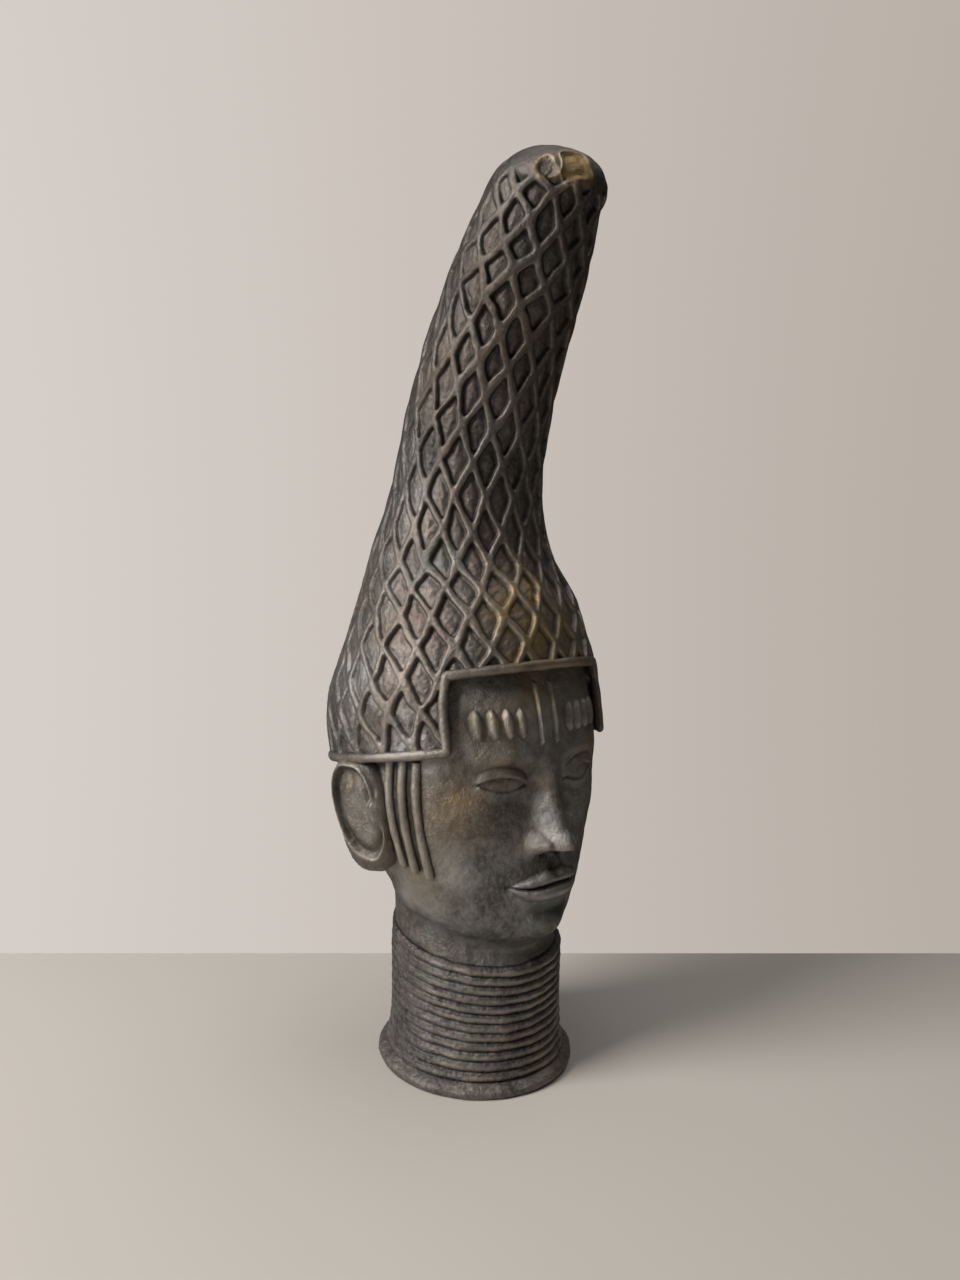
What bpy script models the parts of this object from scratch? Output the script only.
"""African bust: a bronze head with a tall netted cap and a ringed collar, cast as one piece.

The face looks along -Y and +Z is up. The origin is the centre of the flat underside, so the
bust stands on the XY plane. All lengths are metres and all angles are degrees.
"""

import math

import bmesh
import bpy
import numpy as np
from mathutils import Vector

# Collar: rings of equal height stacked on a flared foot
COLLAR_HALF_WIDTH = 0.0535
COLLAR_HALF_DEPTH = 0.0570
RING_COUNT = 12
RING_HEIGHT = 0.0064
RING_GROOVE = 0.0022
FOOT_HEIGHT = 0.0088
FOOT_FLARE = 0.0080
FOOT_EDGE = 0.0040
COLLAR_BACK_RISE = 0.15
COLLAR_LEAN = 0.0022
COLLAR_SIDES = 20

# Face: three equal thirds from the chin to the forehead edge of the cap
CHIN_LEVEL = 0.0950
FACE_THIRD = 0.0555
EYE_BELOW_BROW = 0.0130
EYE_SPACING = 0.0610
EYE_HALF_WIDTH = 0.0150
EYE_HALF_HEIGHT = 0.0105
LID_HEIGHT = 0.0019
NOSE_HEIGHT = 0.0190
NOSE_HALF_WIDTH = 0.0100
WING_SPACING = 0.0250
MOUTH_HALF_WIDTH = 0.0260
LIP_HEIGHT = 0.0058
CHIN_HEIGHT = 0.0070

# Head: level loops as front height, back height, front, back, half width and squareness
HEAD_LOOPS = (
    (0.267, 0.262, -0.0560, 0.0780, 0.0720, 2.3),
    (0.257, 0.252, -0.0605, 0.0800, 0.0735, 2.3),
    (0.235, 0.231, -0.0680, 0.0840, 0.0755, 2.3),
    (0.215, 0.211, -0.0712, 0.0860, 0.0770, 2.3),
    (0.203, 0.200, -0.0715, 0.0865, 0.0775, 2.3),
    (0.190, 0.188, -0.0700, 0.0860, 0.0775, 2.3),
    (0.170, 0.174, -0.0695, 0.0830, 0.0760, 2.2),
    (0.149, 0.160, -0.0695, 0.0775, 0.0720, 2.1),
    (0.131, 0.148, -0.0690, 0.0715, 0.0670, 2.0),
    (0.115, 0.137, -0.0680, 0.0660, 0.0610, 1.9),
    (0.104, 0.129, -0.0665, 0.0625, 0.0570, 1.8),
    (0.096, 0.122, -0.0615, 0.0600, 0.0535, 1.8),
    (0.092, 0.118, -0.0560, 0.0580, 0.0505, 1.9),
    (0.087, 0.111, -0.0520, 0.0553, 0.0492, 2.0),
    (0.078, 0.092, -0.0540, 0.0528, 0.0500, 2.0),
    (0.066, 0.072, -0.0550, 0.0515, 0.0500, 2.0),
)
FACE_COLUMNS = (0.0, 0.003, 0.0065, 0.010, 0.014, 0.0175, 0.022, 0.027, 0.032, 0.037, 0.042, 0.047)
FACE_COLUMN_LIMIT = 0.8
SIDE_COLUMNS = 5
FACE_ROWS = (
    0.0, 0.008, 0.015, 0.022, 0.027, 0.032, 0.0355, 0.0375, 0.042, 0.047, 0.0525, 0.056,
    0.0605, 0.0655, 0.075, 0.085, 0.0915, 0.0945, 0.098, 0.102, 0.107, 0.117, 0.138,
)

# Cap: cross sections along its axis as height, set-back, forward lean, half width, half depth
CAP_SECTIONS = (
    (0.205, 0.0074, -8.7, 0.0882, 0.0856),
    (0.235, 0.0116, -5.0, 0.0879, 0.0853),
    (0.265, 0.0074, -2.0, 0.0809, 0.0770),
    (0.295, 0.0065, 0.0, 0.0710, 0.0676),
    (0.325, 0.0113, 3.0, 0.0588, 0.0570),
    (0.355, 0.0083, 9.0, 0.0495, 0.0491),
    (0.400, -0.0020, 18.0, 0.0446, 0.0446),
    (0.450, -0.0224, 26.0, 0.0414, 0.0414),
    (0.495, -0.0480, 28.0, 0.0372, 0.0376),
    (0.522, -0.0622, 20.0, 0.0325, 0.0335),
)
DOME_LENGTH = 0.0300
DOME_FULLNESS = 0.40
DOME_LEAN = 39.0
NET_CELL_WIDTH = 0.0212
NET_CELL_HEIGHT = 0.0392
NET_STRAND_WIDTH = 0.0052
NET_DEPTH = 0.0022
NET_FEWEST_CELLS = 10
NET_TOP = 0.62
TIP_RIM = 0.92
TIP_RIM_WIDTH = 0.0025
TIP_RECESS = 0.0040

# Forehead opening of the cap, and the rod along its edge and round the hem
OPENING_ANGLE = 44.5
OPENING_TILT = 11.3
EDGE_FRONT = -0.0712
ROD_RADIUS = 0.0027
ROD_SINK = 0.0008
ROD_OVERHANG = 0.0011
HEM_CLEARANCE = 0.35

# Ears, temple strands and forehead marks
EAR_CENTRE = (0.0775, 0.0060, 0.1705)
EAR_HALF_HEIGHT = 0.0365
EAR_HALF_DEPTH = 0.0190
EAR_HALF_THICKNESS = 0.0110
EAR_FLARE = 20.0
EAR_LEAN = 8.0
EAR_TILT = 8.0
EAR_SQUARENESS = 2.8
EAR_RIM = 0.0050
EAR_HOLLOW_OUT = 0.85
EAR_HOLLOW_FORWARD = 0.0015
EAR_HOLLOW_UP = 0.0010
TEMPLE_STRAND_RADIUS = 0.0027
TEMPLE_STRANDS = (
    # top angle, bottom angle round the head, and bottom height
    (72.5, 72.0, 0.1350),
    (65.5, 65.5, 0.1335),
    (59.0, 57.5, 0.1315),
)
MARK_COUNT = 4
MARK_SPACING = 0.0085
MARK_FIRST = 0.0190
MARK_HALF_LENGTH = 0.0075
MARK_HALF_WIDTH = 0.0024
MARK_RISE = 0.0022
MARK_ABOVE_BROW = 0.0225
LINE_SPACING = 0.0128
LINE_RADIUS = 0.0011
LINE_TOP_BELOW_EDGE = 0.0105
LINE_BOTTOM_ABOVE_BROW = 0.0095
LINE_POINTS = 4

SHORTEST_EDGE = 0.00003

NOSE_BASE = CHIN_LEVEL + FACE_THIRD
BROW_LEVEL = NOSE_BASE + FACE_THIRD
FOREHEAD_EDGE = BROW_LEVEL + FACE_THIRD
EYE_LEVEL = BROW_LEVEL - EYE_BELOW_BROW
MOUTH_LEVEL = NOSE_BASE - FACE_THIRD / 3
COLLAR_HEIGHT = FOOT_HEIGHT + RING_COUNT * RING_HEIGHT


def smooth_through(table, at):
    """Return the rows of a table read at given values of its first column, by smooth curves."""
    table = np.array(table)
    if table[0, 0] > table[-1, 0]:
        table = table[::-1]
    knots, values = table[:, 0], table[:, 1:]
    slopes = np.gradient(values, knots, axis=0)
    at = np.atleast_1d(at)
    span = np.clip(np.searchsorted(knots, at, side="right") - 1, 0, len(knots) - 2)
    width = (knots[span + 1] - knots[span])[:, None]
    t = (at - knots[span])[:, None] / width
    start, end = values[span], values[span + 1]
    rise, fall = slopes[span] * width, slopes[span + 1] * width
    return (start * (1 + 2 * t) * (1 - t) ** 2 + rise * t * (1 - t) ** 2
            + end * t * t * (3 - 2 * t) - fall * t * t * (1 - t))


def cap_points(axis_height, angle):
    """Return points of the cap at a height on its axis and an angle from the front, in radians."""
    top = CAP_SECTIONS[-1][0]
    axis_height, angle = np.broadcast_arrays(axis_height, angle)
    set_back, lean, half_width, half_depth = smooth_through(
        CAP_SECTIONS, np.minimum(axis_height.ravel(), top)).T
    beyond = np.maximum(axis_height.ravel() - top, 0.0)
    lean, dome_lean = np.radians(lean), math.radians(DOME_LEAN)
    rounding = np.clip(1 - (beyond / DOME_LENGTH) ** 2, 0, 1) ** DOME_FULLNESS
    forward = half_depth * rounding * np.cos(angle.ravel())
    x = half_width * rounding * np.sin(angle.ravel())
    y = set_back - beyond * math.sin(dome_lean) - forward * np.cos(lean)
    z = np.minimum(axis_height.ravel(), top) + beyond * math.cos(dome_lean) - forward * np.sin(lean)
    return np.stack([x, y, z], axis=-1).reshape(axis_height.shape + (3,))


def edge_level(y):
    """Return the level of the opening's upper edge, which rises toward the front."""
    return FOREHEAD_EDGE - math.tan(math.radians(OPENING_TILT)) * (y - EDGE_FRONT)


def cap_height_at_edge(angle):
    """Return the height on the cap's axis whose surface point lies along the rod of the edge."""
    height = FOREHEAD_EDGE
    for _ in range(8):
        _, y, z = cap_points(height, angle)
        height += edge_level(float(y)) - ROD_OVERHANG - float(z)
    return height


def hill(x, z, side, level, half_width, half_height):
    """Return a smooth hill, one at its top, mirrored to both sides of the face."""
    return np.exp(-((np.abs(x) - side) / half_width) ** 2 - ((z - level) / half_height) ** 2)


def face_relief(x, z):
    """Return how far the features of a calm, plain face stand out from the head."""
    eye_side = EYE_SPACING / 2
    along = np.clip((BROW_LEVEL - z) / (BROW_LEVEL - NOSE_BASE - 0.008), 0, 1)
    nose_end = np.clip((z - NOSE_BASE + 0.0015) / 0.007, 0, 1)
    nose_end = nose_end * nose_end * (3 - 2 * nose_end)
    bridge = (0.20 + 0.80 * along ** 1.4) * np.clip((BROW_LEVEL + 0.012 - z) / 0.02, 0, 1)
    breadth = NOSE_HALF_WIDTH * (0.7 + 0.4 * along)
    nose = NOSE_HEIGHT * nose_end * bridge * np.exp(-np.abs(x / breadth) ** 2.4)
    wings = 0.0095 * hill(x, z, WING_SPACING / 2, NOSE_BASE + 0.0065, 0.0060, 0.0070)
    socket = -0.0085 * hill(x, z, eye_side, EYE_LEVEL + 0.001, 0.0190, 0.0120)
    across = (np.abs(x) - eye_side) / EYE_HALF_WIDTH
    ball = 0.0095 * np.sqrt(np.clip(1 - across ** 2 - ((z - EYE_LEVEL) / EYE_HALF_HEIGHT) ** 2, 0, 1))
    arch = np.clip(1 - across ** 2, 0, 1)
    upper = LID_HEIGHT * np.sqrt(arch) * np.exp(-((z - EYE_LEVEL - 0.0055 * arch) / 0.0018) ** 2)
    lower = LID_HEIGHT * np.sqrt(arch) * np.exp(-((z - EYE_LEVEL + 0.0042 * arch) / 0.0018) ** 2)
    brow_arch = BROW_LEVEL + 0.003 - 6.0 * (np.abs(x) - 0.028) ** 2
    brow = 0.0030 * np.exp(-((z - brow_arch) / 0.0050) ** 2) * np.exp(-((np.abs(x) - 0.028) / 0.022) ** 4)
    lip_taper = np.clip(1 - (x / MOUTH_HALF_WIDTH) ** 2, 0, 1)
    muzzle = 0.0060 * hill(x, z, 0, MOUTH_LEVEL + 0.002, 0.0300, 0.0190)
    upper_lip = LIP_HEIGHT * lip_taper ** 0.6 * np.exp(-((z - MOUTH_LEVEL - 0.0050) / 0.0040) ** 2)
    lower_lip = LIP_HEIGHT * lip_taper ** 0.6 * np.exp(-((z - MOUTH_LEVEL + 0.0060) / 0.0048) ** 2)
    parting = -0.0030 * lip_taper ** 0.3 * np.exp(-((z - MOUTH_LEVEL) / 0.0014) ** 2)
    crease = -0.0030 * hill(x, z, 0, MOUTH_LEVEL - 0.0170, 0.0200, 0.0050)
    chin = CHIN_HEIGHT * hill(x, z, 0, CHIN_LEVEL + 0.0100, 0.0190, 0.0110)
    cheek = 0.0030 * hill(x, z, 0.0470, NOSE_BASE + 0.0220, 0.0170, 0.0180)
    return (nose + np.maximum(wings - 0.5 * nose, 0) + socket + ball + upper + lower + brow
            + muzzle + upper_lip + lower_lip + parting + crease + chin + cheek)


def head_loop(level):
    """Return one closed loop of points round the head, by the level of its front."""
    back_level, front, back, half_width, square = smooth_through(HEAD_LOOPS, level)[0]
    middle, half_depth = (front + back) / 2, (back - front) / 2
    face_x = np.array(FACE_COLUMNS) * min(1.0, FACE_COLUMN_LIMIT * half_width / FACE_COLUMNS[-1])
    face_y = middle - half_depth * (1 - (face_x / half_width) ** square) ** (1 / square)
    first = math.atan2(face_x[-1], middle - face_y[-1])
    turn = np.linspace(first, math.pi, SIDE_COLUMNS + 1)[1:]
    reach = (np.abs(np.sin(turn) / half_width) ** square
             + np.abs(np.cos(turn) / half_depth) ** square) ** (-1 / square)
    x = np.concatenate([face_x, reach * np.sin(turn)])
    x[-1] = 0.0
    y = np.concatenate([face_y, middle - reach * np.cos(turn)])
    z = level + (back_level - level) * (y - front) / (back - front)
    facing = np.clip((middle - y) / half_depth, 0, 1)
    y = y - face_relief(x, z) * facing
    left = [Vector(p) for p in np.stack([-x, y, z], axis=-1)[-2:0:-1]]
    right = [Vector(p) for p in np.stack([x, y, z], axis=-1)]
    return left + right


def new_object(name, mesh, collection):
    """Link a mesh to a collection as a named object."""
    result = bpy.data.objects.new(name, mesh)
    collection.objects.link(result)
    return result


def mesh_from(name, bm):
    """Turn a bmesh into a mesh whose faces point outwards."""
    bmesh.ops.recalc_face_normals(bm, faces=bm.faces)
    mesh = bpy.data.meshes.new(name)
    bm.to_mesh(mesh)
    bm.free()
    return mesh


def head_mesh():
    """Loft the head and neck from the collar to just inside the cap."""
    levels = [row[0] for row in HEAD_LOOPS if row[0] < CHIN_LEVEL + FACE_ROWS[0]]
    levels = sorted(levels) + [CHIN_LEVEL + rise for rise in FACE_ROWS] + [FOREHEAD_EDGE + 0.005]
    bm = bmesh.new()
    loops = [[bm.verts.new(point) for point in head_loop(level)] for level in levels]
    for lower, upper in zip(loops, loops[1:]):
        count = len(lower)
        for i in range(count):
            j = (i + 1) % count
            bm.faces.new((lower[i], lower[j], upper[j], upper[i]))
    bm.faces.new(loops[0][::-1])
    bm.faces.new(loops[-1])
    return mesh_from("head", bm)


def knot_count(axis_height):
    """Return how many knots of the net go round the cap at a height on its axis."""
    radius = float(cap_points(axis_height, math.pi / 2)[0])
    return max(NET_FEWEST_CELLS, round(2 * math.pi * radius / NET_CELL_WIDTH))


def knot_places(axis_height, offset):
    """Return the places of one row's knots, counted in cells from the front."""
    count = knot_count(axis_height)
    first = -((count - 1) // 2) if offset == 0 else offset - count // 2
    return [first + i for i in range(count)]


def net_row(bm, axis_height, offset):
    """Make one closed row of knots, as pairs of place and vertex, ending where it began."""
    places = knot_places(axis_height, offset)
    pitch = 2 * math.pi / len(places)
    row = [(p, bm.verts.new(cap_points(axis_height, p * pitch))) for p in places]
    return row + [(places[0] + len(places), row[0][1])]


def cap_mesh():
    """Make the solid cap, whose surface is a net of raised strands with sunk diamonds.

    Rows of knots stand half a cell apart in height, and every other row is half a cell round.
    Each side of a row spans one diamond, from the knot below it to the knot above it.
    """
    first, top = CAP_SECTIONS[0][0], CAP_SECTIONS[-1][0]
    last = top + NET_TOP * DOME_LENGTH
    steps = round((last - first) / (NET_CELL_HEIGHT / 2))
    bm = bmesh.new()
    heights = np.linspace(first, last, steps + 1)
    rows = [net_row(bm, height, 0.5 * (k % 2)) for k, height in enumerate(heights)]
    spans = {}
    for low, high in zip(rows, rows[1:]):
        i = j = 0
        while i < len(low) - 1 or j < len(high) - 1:
            if j == len(high) - 1 or (i < len(low) - 1 and low[i + 1][0] <= high[j + 1][0]):
                spans.setdefault((low[i][1], low[i + 1][1]), []).append(high[j][1])
                i += 1
            else:
                spans.setdefault((high[j][1], high[j + 1][1]), []).append(low[i][1])
                j += 1
    cells = []
    for (start, end), tips in spans.items():
        cells.append(bm.faces.new((start, tips[0], end, *tips[1:])))
    edge = [vertex for _, vertex in rows[-1][:-1]]
    pitch = 2 * math.pi / len(edge)
    rim = [bm.verts.new(cap_points(top + TIP_RIM * DOME_LENGTH, place * pitch)) for place, _ in rows[-1][:-1]]
    for i in range(len(rim)):
        j = (i + 1) % len(rim)
        bm.faces.new((edge[i], edge[j], rim[j], rim[i]))
    tip = bm.faces.new(rim)
    bm.faces.new([vertex for _, vertex in rows[0][:-1]])
    bmesh.ops.recalc_face_normals(bm, faces=bm.faces)
    bmesh.ops.inset_individual(bm, faces=cells, thickness=NET_STRAND_WIDTH / 2, depth=-NET_DEPTH,
                               use_even_offset=True)
    bmesh.ops.inset_individual(bm, faces=[tip], thickness=TIP_RIM_WIDTH, depth=0)
    bmesh.ops.inset_individual(bm, faces=[tip], thickness=TIP_RIM_WIDTH / 2, depth=-TIP_RECESS)
    return mesh_from("cap", bm)


def opening_cutter(collection):
    """Make the wedge that opens the cap over the forehead, up to the forehead edge."""
    reach = 2 * CAP_SECTIONS[0][4]
    apex = CAP_SECTIONS[0][1]
    across, depth = CAP_SECTIONS[1][3:5]
    angle = math.radians(OPENING_ANGLE)
    side = Vector((across * math.sin(angle), apex - depth * math.cos(angle))) - Vector((0, apex))
    side *= reach / depth
    outline = [(0, apex), (side.x, apex + side.y), (-side.x, apex + side.y)]
    bm = bmesh.new()
    low = [bm.verts.new((x, y, CHIN_LEVEL)) for x, y in outline]
    high = [bm.verts.new((x, y, edge_level(y))) for x, y in outline]
    bm.faces.new(low)
    bm.faces.new(high)
    for i in range(len(outline)):
        j = (i + 1) % len(outline)
        bm.faces.new((low[i], low[j], high[j], high[i]))
    return new_object("forehead_opening", mesh_from("forehead_opening", bm), collection)


def rod_object(name, points, radius, sides_level, cyclic, collection):
    """Make a round rod along a line of points, as a closed mesh."""
    curve = bpy.data.curves.new(name, "CURVE")
    curve.dimensions = "3D"
    curve.bevel_depth = radius
    curve.bevel_resolution = sides_level
    curve.use_fill_caps = not cyclic
    spline = curve.splines.new("POLY")
    spline.points.add(len(points) - 1)
    for point, place in zip(spline.points, points):
        point.co = (*place, 1.0)
    spline.use_cyclic_u = cyclic
    drawn = new_object(name + "_line", curve, collection)
    bpy.context.view_layer.update()
    graph = bpy.context.evaluated_depsgraph_get()
    mesh = bpy.data.meshes.new_from_object(drawn.evaluated_get(graph))
    bpy.data.objects.remove(drawn)
    bm = bmesh.new()
    bm.from_mesh(mesh)
    bmesh.ops.remove_doubles(bm, verts=bm.verts, dist=radius / 50)
    bpy.data.meshes.remove(mesh)
    return new_object(name, mesh_from(name, bm), collection)


def rod_point(height, angle):
    """Return a point of the edge rod's line, sunk a little into the cap's surface."""
    inward = np.array((-math.sin(angle), math.cos(angle), 0.0))
    return cap_points(height, angle) + ROD_SINK * inward


def edge_rod(collection):
    """Make the rod that edges the cap: round the hem, up both temples, across the forehead.

    Its points on the hem stand one under each knot, clear of the corners by a share of a cell.
    """
    hem, half_width = CAP_SECTIONS[0][0], CAP_SECTIONS[0][3]
    corner = math.radians(OPENING_ANGLE) + ROD_OVERHANG / half_width
    pitch = 2 * math.pi / knot_count(hem)
    first = math.ceil(corner / pitch + HEM_CLEARANCE)
    last = math.floor(math.pi / pitch - HEM_CLEARANCE)
    down = np.array((0, 0, -ROD_OVERHANG))
    hem_points = [rod_point(hem, i * pitch) + down for i in range(first, last + 1)]
    temple = [rod_point(h, corner) for h in np.linspace(hem, cap_height_at_edge(corner), 3)]
    temple[0] = temple[0] + down
    forehead = [rod_point(cap_height_at_edge(a), a) for a in np.linspace(corner, 0, 7)[1:]]
    half = hem_points[::-1] + temple + forehead
    other = [p * np.array((-1, 1, 1)) for p in half[-2::-1]]
    line = [rod_point(hem, math.pi) + down] + half + other
    return rod_object("cap_edge", line, ROD_RADIUS, 0, True, collection)


def collar_object(collection):
    """Turn the collar's profile, then make it oval, raise its back and lean it forward."""
    profile = [(0.0, COLLAR_HEIGHT)]
    for ring in reversed(range(RING_COUNT)):
        top = FOOT_HEIGHT + (ring + 1) * RING_HEIGHT
        profile.append((COLLAR_HALF_WIDTH - RING_GROOVE, top))
        profile.append((COLLAR_HALF_WIDTH, top - RING_HEIGHT / 2))
    foot = COLLAR_HALF_WIDTH + FOOT_FLARE
    profile.append((COLLAR_HALF_WIDTH - RING_GROOVE, FOOT_HEIGHT))
    profile.append((foot - FOOT_EDGE / 2, FOOT_HEIGHT - FOOT_EDGE))
    profile.append((foot, FOOT_EDGE))
    profile.append((foot - FOOT_EDGE / 5, 0.0))
    profile.append((0.0, 0.0))
    outline = bpy.data.meshes.new("collar_outline")
    outline.from_pydata([(x, 0.0, z) for x, z in profile], [(i, i + 1) for i in range(len(profile) - 1)], [])
    turned = new_object("collar_outline", outline, collection)
    screw = turned.modifiers.new("turn", "SCREW")
    screw.steps = screw.render_steps = COLLAR_SIDES
    screw.use_merge_vertices = True
    screw.merge_threshold = 0.00001
    bpy.context.view_layer.update()
    graph = bpy.context.evaluated_depsgraph_get()
    mesh = bpy.data.meshes.new_from_object(turned.evaluated_get(graph))
    bpy.data.objects.remove(turned)
    for vertex in mesh.vertices:
        vertex.co.y *= COLLAR_HALF_DEPTH / COLLAR_HALF_WIDTH
        share = vertex.co.z / COLLAR_HEIGHT
        vertex.co.z += COLLAR_BACK_RISE * vertex.co.y * share
        vertex.co.y -= COLLAR_LEAN * share
    return new_object("collar", mesh, collection)


def oval_mesh(name, segments, rings, half_sizes, square=2.0):
    """Make an oval ball with given half sizes along X, Y and Z, boxier for a square over two."""
    bm = bmesh.new()
    bmesh.ops.create_uvsphere(bm, u_segments=segments, v_segments=rings, radius=1.0)
    for vertex in bm.verts:
        vertex.co /= sum(abs(share) ** square for share in vertex.co) ** (1 / square)
    bmesh.ops.scale(bm, vec=half_sizes, verts=bm.verts)
    return mesh_from(name, bm)


def ear_object(side, collection):
    """Make one ear: an oval, flared back, hollowed so that a rim stands all round."""
    name = "ear_right" if side < 0 else "ear_left"
    sizes = (EAR_HALF_THICKNESS, EAR_HALF_DEPTH, EAR_HALF_HEIGHT)
    ear = new_object(name, oval_mesh(name, 12, 8, sizes, EAR_SQUARENESS), collection)
    ear.location = (side * EAR_CENTRE[0], EAR_CENTRE[1], EAR_CENTRE[2])
    turns = (-EAR_LEAN, side * EAR_TILT, -side * EAR_FLARE)
    ear.rotation_euler = [math.radians(turn) for turn in turns]
    inner = (EAR_HALF_THICKNESS, EAR_HALF_DEPTH - EAR_RIM, EAR_HALF_HEIGHT - EAR_RIM)
    hollow_mesh = oval_mesh(name + "_hollow", 10, 6, inner, EAR_SQUARENESS)
    hollow = new_object(name + "_hollow", hollow_mesh, collection)
    hollow.parent = ear
    hollow.location = (side * EAR_HALF_THICKNESS * EAR_HOLLOW_OUT, -EAR_HOLLOW_FORWARD, EAR_HOLLOW_UP)
    cut = ear.modifiers.new("hollow", "BOOLEAN")
    cut.operation = "DIFFERENCE"
    cut.object = hollow
    return ear


def head_surface_point(angle, level):
    """Return the head's own surface point at an angle from the front and a front level."""
    back_level, front, back, half_width, square = smooth_through(HEAD_LOOPS, level)[0]
    middle, half_depth = (front + back) / 2, (back - front) / 2
    reach = (abs(math.sin(angle) / half_width) ** square
             + abs(math.cos(angle) / half_depth) ** square) ** (-1 / square)
    y = middle - reach * math.cos(angle)
    z = level + (back_level - level) * (y - front) / (back - front)
    return Vector((reach * math.sin(angle), y, z))


def temple_strands(collection):
    """Make the three strands that hang from the cap in front of each ear."""
    rods = []
    top_level = CAP_SECTIONS[0][0] + ROD_RADIUS
    for side in (-1, 1):
        for number, (top, bottom, end) in enumerate(TEMPLE_STRANDS):
            share = np.linspace(0, 1, 3)
            angles = np.radians(top + (bottom - top) * share)
            levels = top_level + (end - top_level) * share
            line = [head_surface_point(a, h) for a, h in zip(angles, levels)]
            line = [Vector((side * p.x, p.y, p.z)) for p in line]
            name = f"temple_strand_{'right' if side < 0 else 'left'}_{number + 1}"
            rods.append(rod_object(name, line, TEMPLE_STRAND_RADIUS, 1, False, collection))
    return rods


def forehead_point(x, level):
    """Return the forehead's surface point at a distance from the middle and a level."""
    _, front, back, half_width, square = smooth_through(HEAD_LOOPS, level)[0]
    middle, half_depth = (front + back) / 2, (back - front) / 2
    y = middle - half_depth * (1 - abs(x / half_width) ** square) ** (1 / square)
    return Vector((x, y - float(face_relief(np.array(x), np.array(level))), level))


def forehead_marks(collection):
    """Make the short almond marks over each brow and the two lines between them."""
    marks = []
    level = BROW_LEVEL + MARK_ABOVE_BROW
    half_width = smooth_through(HEAD_LOOPS, level)[0][3]
    for side in (-1, 1):
        for number in range(MARK_COUNT):
            name = f"forehead_mark_{'right' if side < 0 else 'left'}_{number + 1}"
            sizes = (MARK_HALF_WIDTH, MARK_RISE, MARK_HALF_LENGTH)
            mark = new_object(name, oval_mesh(name, 6, 4, sizes), collection)
            x = side * (MARK_FIRST + number * MARK_SPACING)
            mark.location = forehead_point(x, level)
            mark.rotation_euler = (0, 0, math.asin(x / half_width))
            marks.append(mark)
    top = FOREHEAD_EDGE - LINE_TOP_BELOW_EDGE
    bottom = BROW_LEVEL + LINE_BOTTOM_ABOVE_BROW
    for side in (-1, 1):
        levels = np.linspace(top, bottom, LINE_POINTS)
        line = [forehead_point(side * LINE_SPACING / 2, level) for level in levels]
        name = "forehead_line_right" if side < 0 else "forehead_line_left"
        marks.append(rod_object(name, line, LINE_RADIUS, 0, False, collection))
    return marks


def bronze():
    """Return the dark brown bronze of the casting."""
    material = bpy.data.materials.new("dark_bronze")
    material.use_nodes = True
    shader = material.node_tree.nodes["Principled BSDF"]
    shader.inputs["Base Color"].default_value = (0.085, 0.070, 0.062, 1.0)
    shader.inputs["Metallic"].default_value = 0.6
    shader.inputs["Roughness"].default_value = 0.5
    return material


def combine(solid, operation, shape):
    """Cut or join a shape into a solid, and merge the slivers that the Boolean leaves."""
    boolean = solid.modifiers.new(shape.name, "BOOLEAN")
    boolean.operation = operation
    boolean.object = shape
    bpy.context.view_layer.update()
    graph = bpy.context.evaluated_depsgraph_get()
    mesh = bpy.data.meshes.new_from_object(solid.evaluated_get(graph))
    solid.modifiers.clear()
    bm = bmesh.new()
    bm.from_mesh(mesh)
    bmesh.ops.triangulate(bm, faces=bm.faces)
    bmesh.ops.remove_doubles(bm, verts=bm.verts, dist=SHORTEST_EDGE)
    bmesh.ops.dissolve_degenerate(bm, edges=bm.edges, dist=SHORTEST_EDGE)
    bmesh.ops.triangulate(bm, faces=bm.faces)
    bm.to_mesh(mesh)
    bm.free()
    solid.data = mesh


def build():
    """Build the bust as one solid from its cap, head, collar and raised work."""
    for old in list(bpy.data.objects):
        bpy.data.objects.remove(old)
    model = bpy.data.collections.new("african_bust")
    shapes = bpy.data.collections.new("african_bust_shapes")
    bpy.context.scene.collection.children.link(model)
    bpy.context.scene.collection.children.link(shapes)

    bust = new_object("bust", cap_mesh(), model)
    bust.data.materials.append(bronze())
    combine(bust, "DIFFERENCE", opening_cutter(shapes))
    joined = [new_object("head", head_mesh(), shapes), collar_object(shapes), edge_rod(shapes)]
    joined += [ear_object(side, shapes) for side in (-1, 1)]
    joined += temple_strands(shapes) + forehead_marks(shapes)
    for shape in joined:
        combine(bust, "UNION", shape)
    for shape in shapes.objects:
        shape.hide_render = True
        shape.display_type = "WIRE"


build()
